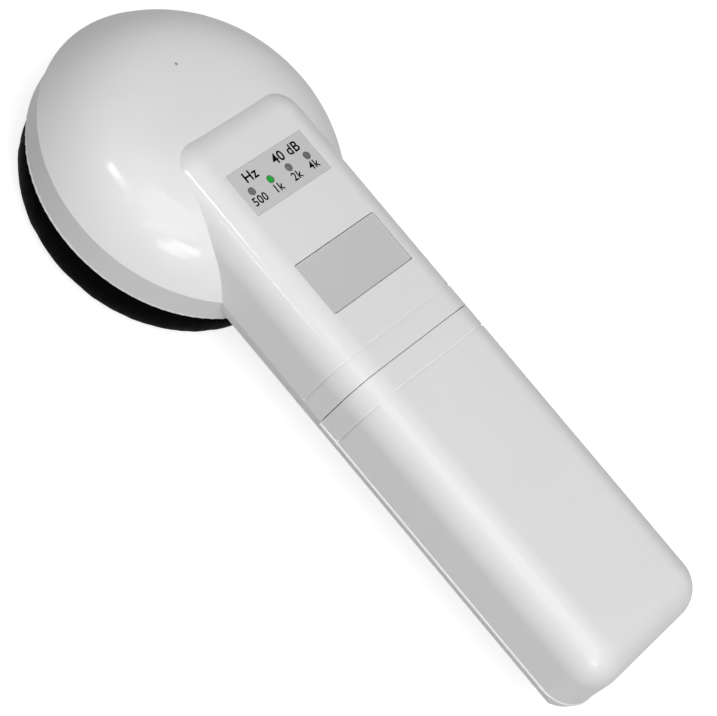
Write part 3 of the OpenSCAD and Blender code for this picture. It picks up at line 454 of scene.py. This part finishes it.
CASE_LOOK = ((0.75, 0.752, 0.755), 0.5, 0.09, 0.0005, 0.01, 0.01, 0.15)
case_white = plastic("case_white", *CASE_LOOK)
dome_white = round_dome(plastic("dome_white", *CASE_LOOK))
key_grey = plastic("key_grey", (0.545, 0.548, 0.551), 0.5, 0.1, 0.0004, 0.03, 0.02, 0.3)
label_grey = plastic("label_grey", (0.56, 0.563, 0.566), 0.45, 0.1, 0.0003, 0.02, 0.02, 0.3)
print_black = plastic("print_black", (0.002, 0.002, 0.002), 0.6, 0.0, 0.0002, 0.02, 0.1, 0.02)
lamp_off = lens("lamp_off", (0.15, 0.155, 0.155))
lamp_lit = lens("lamp_lit", (0.0, 0.3, 0.02), 0.3)
# Dark grey of the lamp seats: painted shade of the gap round each lamp
seat_shade_grey = plastic("seat_shade_grey", (0.07, 0.07, 0.07), 0.4, 0.1, 0.0002, 0.02, 0.05)
mould_black = plastic("mould_black", (0.012, 0.012, 0.013), 0.45, 0.0, 0.0004, 0.08, 0.1)
chip_black = plastic("chip_black", (0.02, 0.02, 0.022), 0.6, 0.0, 0.0002, 0.1, 0.1)
socket_cream = plastic("socket_cream", (0.7, 0.68, 0.58), 0.5, 0.0, 0.0003, 0.03, 0.03)
plunger_red = plastic("plunger_red", (0.5, 0.05, 0.02), 0.4, 0.1, 0.0003, 0.03, 0.04)
sleeve_blue = plastic("sleeve_blue", (0.01, 0.015, 0.09), 0.25, 0.4, 0.0003, 0.02, 0.05)
cone_paper = plastic("cone_paper", (0.03, 0.03, 0.032), 0.8, 0.0, 0.0006, 0.3, 0.12)
magnet_grey = plastic("magnet_grey", (0.04, 0.04, 0.043), 0.65, 0.0, 0.0003, 0.2, 0.1)
battery_skin = plastic("battery_skin", (0.02, 0.021, 0.024), 0.3, 0.4, 0.0003, 0.02, 0.06)
soft_rubber = plastic("soft_rubber", (0.012, 0.012, 0.012), 0.75, 0.0, 0.0004, 0.12, 0.1)
wire_red = plastic("wire_red", (0.42, 0.01, 0.01), 0.4, 0.1, 0.0002, 0.02, 0.05)
wire_black = plastic("wire_black", (0.012, 0.012, 0.012), 0.4, 0.1, 0.0002, 0.02, 0.05)
screw_steel = metal("screw_steel", (0.6, 0.6, 0.62), 0.28)
spring_steel = metal("spring_steel", (0.66, 0.66, 0.68), 0.22, (1, 1, 1))
basket_steel = metal("basket_steel", (0.55, 0.55, 0.57), 0.35, (1, 1, 4))
crystal_can = metal("crystal_can", (0.7, 0.7, 0.7), 0.2, (4, 1, 1))
coil_copper = metal("coil_copper", (0.72, 0.3, 0.12), 0.35, (1, 1, 20))
grey_foam = foam("grey_foam", (0.03, 0.03, 0.033))
black_foam = foam("black_foam", (0.012, 0.012, 0.012))
grille_cloth = cloth("grille_cloth", (0.01, 0.01, 0.01))
cushion_leather = leatherette("cushion_leather", (0.0022, 0.0022, 0.0022))
green_mask = board_mask("green_mask")

NODE_FINISH = {
    "front_shell": dome_white,
    "rear_shell": case_white,
    "battery_cover": case_white,
    "cover_pad": black_foam,
    "label_panel": label_grey,
    "led_500": lamp_off,
    "led_1k": lamp_lit,
    "led_2k": lamp_off,
    "led_4k": lamp_off,
    "led_spacer": mould_black,
    "test_key": key_grey,
    "key_springs": spring_steel,
    "switch_case": mould_black,
    "switch_plunger": plunger_red,
    "main_board": green_mask,
    "board_chips": chip_black,
    "board_capacitors": sleeve_blue,
    "board_crystal": crystal_can,
    "board_resistors": chip_black,
    "board_sockets": socket_cream,
    "board_screws": screw_steel,
    "case_screws": screw_steel,
    "speaker_frame": basket_steel,
    "speaker_magnet": magnet_grey,
    "speaker_cone": cone_paper,
    "voice_coil": coil_copper,
    "speaker_surround": soft_rubber,
    "speaker_gasket": black_foam,
    "speaker_screws": screw_steel,
    "speaker_lead_red": wire_red,
    "speaker_lead_black": wire_black,
    "acoustic_cloth": grille_cloth,
    "cushion_plate": mould_black,
    "plate_screws": screw_steel,
    "damping_foam": grey_foam,
    "battery": battery_skin,
    "battery_terminals": crystal_can,
    "battery_clip": soft_rubber,
    "battery_lead_red": wire_red,
    "battery_lead_black": wire_black,
}


def dress_nodes():
    for name, made in NODE_FINISH.items():
        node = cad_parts[name]
        node.data.materials.clear()
        node.data.materials.append(made)


# ---------------------------------------------------------------- ear cushion

CUSHION_R = (cushion_high.x - cushion_low.x) / 2
CUSHION_TOP = cushion_high.z
EAR_R = 21.0 * MM
# How square the ring's section is: 2 is an ellipse
CUSHION_POWER = 2.6
# Inside this radius the skin stays below the cushion plate
SKIRT_R = 36.1 * MM
SKIRT_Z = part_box("cushion_plate")[0].z - 0.1 * MM
MID_R = (CUSHION_R + EAR_R) / 2
HALF_W = (CUSHION_R - EAR_R) / 2
VOXEL = 2.6 * MM
PUFF_FRAMES = 20
PUFF_LIMIT = 1.1 * MM
# How far the outer side stands out past the CAD ring
FULLER = 0.55 * MM
# The seam's height as a share of the cushion's, half its width, and its depth
SEAM_SHARE = 0.74
SEAM_W = 0.5 * MM
SEAM_DEPTH = 0.4 * MM


def height_share(height):
    """1 over most of the skin's height, running out to 0 at the plate and at the crown."""
    return min(1.0, 6 * max(0.0, height), 6 * max(0.0, 1 - height))


def squared(value):
    """A circle's coordinate, pushed out to the squared-off section's."""
    return math.copysign(abs(value) ** (2 / CUSHION_POWER), value)


def cushion_form():
    """Padded ring about the origin: a squared-off circle spun round, flat at plate and crown."""
    rise = (CUSHION_TOP + 0.4 * MM) / 2
    mesh = bmesh.new()
    bmesh.ops.create_circle(mesh, cap_ends=False, radius=1.0, segments=64)
    for v in mesh.verts:
        r = MID_R + HALF_W * squared(v.co.x)
        z = CUSHION_TOP - rise + rise * squared(v.co.y)
        if r < SKIRT_R:
            z = min(z, SKIRT_Z)
        v.co = (r, 0.0, max(z, 0.0))
    spun(mesh, 160, 1e-6)
    return new_object("cushion_form", mesh)


def applied(obj, name):
    """A new object with the first one's modifiers made part of its mesh."""
    graph = bpy.context.evaluated_depsgraph_get()
    shape = bpy.data.meshes.new_from_object(obj.evaluated_get(graph))
    made = bpy.data.objects.new(name, shape)
    bpy.context.collection.objects.link(made)
    bpy.data.objects.remove(obj)
    return made


def puffed(form):
    """The ring blown up a little by a cloth simulation, held where it is glued to its plate."""
    shrink = form.modifiers.new("even_mesh", "REMESH")
    shrink.mode = "VOXEL"
    shrink.voxel_size = VOXEL
    form = applied(form, "cushion_even")
    start = [v.co.copy() for v in form.data.vertices]
    held = form.vertex_groups.new(name="held")
    glued = [i for i, co in enumerate(start) if co.z > SKIRT_Z - 1.2 * MM or co.z < 0.3 * MM]
    held.add(glued, 1.0, "REPLACE")
    cloth_sim = form.modifiers.new("puff", "CLOTH")
    rules = cloth_sim.settings
    rules.quality = 6
    rules.mass = 0.25
    rules.use_pressure = True
    rules.uniform_pressure_force = 4.0
    rules.tension_stiffness = 12.0
    rules.compression_stiffness = 12.0
    rules.bending_stiffness = 0.4
    rules.vertex_group_mass = "held"
    rules.effector_weights.gravity = 0.0
    for frame_number in range(1, PUFF_FRAMES + 1):
        bpy.context.scene.frame_set(frame_number)
    puffy = applied(form, "cushion_puffed")
    bpy.context.scene.frame_set(1)
    for v, was in zip(puffy.data.vertices, start):
        move = v.co - was
        if move.length > PUFF_LIMIT:
            v.co = was + move.normalized() * PUFF_LIMIT
    return puffy


def creased(co):
    """Where a point of the skin goes once the leather is drawn in by its seams and folds."""
    r = math.hypot(co.x, co.y)
    turn = math.atan2(co.y, co.x)
    height = co.z / CUSHION_TOP
    slack = math.sin(math.pi * min(1.0, max(0.0, height)))
    ring = Vector((math.cos(turn), math.sin(turn), 0.0))
    folds = noise.noise(ring * 9 + Vector((0, 0, height * 1.2)))
    pleats = noise.noise(ring * 26 + Vector((3, 0, height * 0.7)))
    if r > MID_R:
        seam = math.exp(-(((co.z - SEAM_SHARE * CUSHION_TOP) / SEAM_W) ** 2))
        creases = (0.16 * folds + 0.08 * pleats) * slack * MM
        return co + ring * (FULLER * height_share(height) + creases - SEAM_DEPTH * seam)
    return co - ring * (0.22 * folds + 0.3 * pleats - 0.15) * slack * MM


def ear_cushion():
    ring = puffed(cushion_form())
    finer = ring.modifiers.new("finer", "SUBSURF")
    finer.levels = 2
    finer.render_levels = 2
    ring = applied(ring, "cushion_skin")
    for v in ring.data.vertices:
        co = creased(v.co)
        r = math.hypot(co.x, co.y)
        roof = SKIRT_Z if r < SKIRT_R else CUSHION_TOP
        wide = min(r, CUSHION_R + FULLER) / r
        v.co = (co.x * wide + CUP_X, co.y * wide, min(max(co.z, 0.0), roof))
    smooth(ring, 60)
    finish(ring, cushion_leather, "case")
    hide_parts("ear_cushion")


# ---------------------------------------------------------------- lamp seats (dark rings of painted shade) and label print


# A lamp seat's section (radius and height in mm)
SEAT_SECTION = ((1.0, 0.0), (1.0, 0.04), (1.12, 0.05), (1.2, 0.0))
# How far above the label a seat and the print start
SEAT_LIFT = 0.005 * MM
PRINT_LIFT = 0.015 * MM


def lamp_seat_shade(lamp_node, name):
    """Dark bevelled washer round one lamp, on the label; its dark grey is painted shade of the
    gap round the lamp.
    """
    low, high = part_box(lamp_node)
    middle = (low + high) / 2
    mesh = bmesh.new()
    bmesh.ops.create_circle(mesh, cap_ends=False, radius=1.0, segments=len(SEAT_SECTION))
    for v, (r, z) in zip(mesh.verts, SEAT_SECTION):
        v.co = (r * MM, 0.0, z * MM)
    spun(mesh, 48, 1e-7)
    bmesh.ops.translate(mesh, verts=mesh.verts, vec=(middle.x, middle.y, LABEL_Z + SEAT_LIFT))
    seat = new_object(name, mesh)
    smooth(seat)
    finish(seat, seat_shade_grey, "case")


def lettering(name, words, x, y, height, bold):
    """Flat printed words whose line runs across the handle, read from the handle's end."""
    data = bpy.data.curves.new(name, "FONT")
    data.body = words
    data.size = height
    data.align_x = "CENTER"
    data.align_y = "CENTER"
    data.offset = bold
    data.space_character = 1.06
    data.extrude = 0.01 * MM
    data.resolution_u = 3
    text = bpy.data.objects.new(name, data)
    bpy.context.collection.objects.link(text)
    bpy.context.view_layer.update()
    shape = bpy.data.meshes.new_from_object(text)
    bpy.data.objects.remove(text)
    shape.transform(
        Matrix.Translation((CUP_X + x, y, LABEL_Z + PRINT_LIFT))
        @ Matrix.Rotation(math.pi / 2, 4, "Z")
    )
    obj = bpy.data.objects.new(name, shape)
    bpy.context.collection.objects.link(obj)
    finish(obj, print_black, "case")


def label_print():
    lettering("label_header", "Hz     40 dB", 17.3 * MM, 0.3 * MM, 4.3 * MM, 0.08 * MM)
    across_handle = {"500": -10.9, "1k": -3.5, "2k": 4.2, "4k": 11.3}
    for words, y in across_handle.items():
        lettering(f"label_{words}", words, 24.1 * MM, y * MM, 3.5 * MM, 0.06 * MM)


bpy.context.scene.view_settings.view_transform = "Standard"
camera()
world_light(WORLD_LEVEL)
floor()
for name, turn, height, power in SOFT_LAMPS:
    lamp(name, from_angles(turn, height), SOFT_SIZE, power)
for values in STREAKS:
    streak(*values)
dress_nodes()
ear_cushion()
label_print()
# Dark rings round the lamps, whose colour paints the shade of the gap round each one
for node_name in ("led_500", "led_1k", "led_2k", "led_4k"):
    lamp_seat_shade(node_name, node_name.replace("led", "seat"))
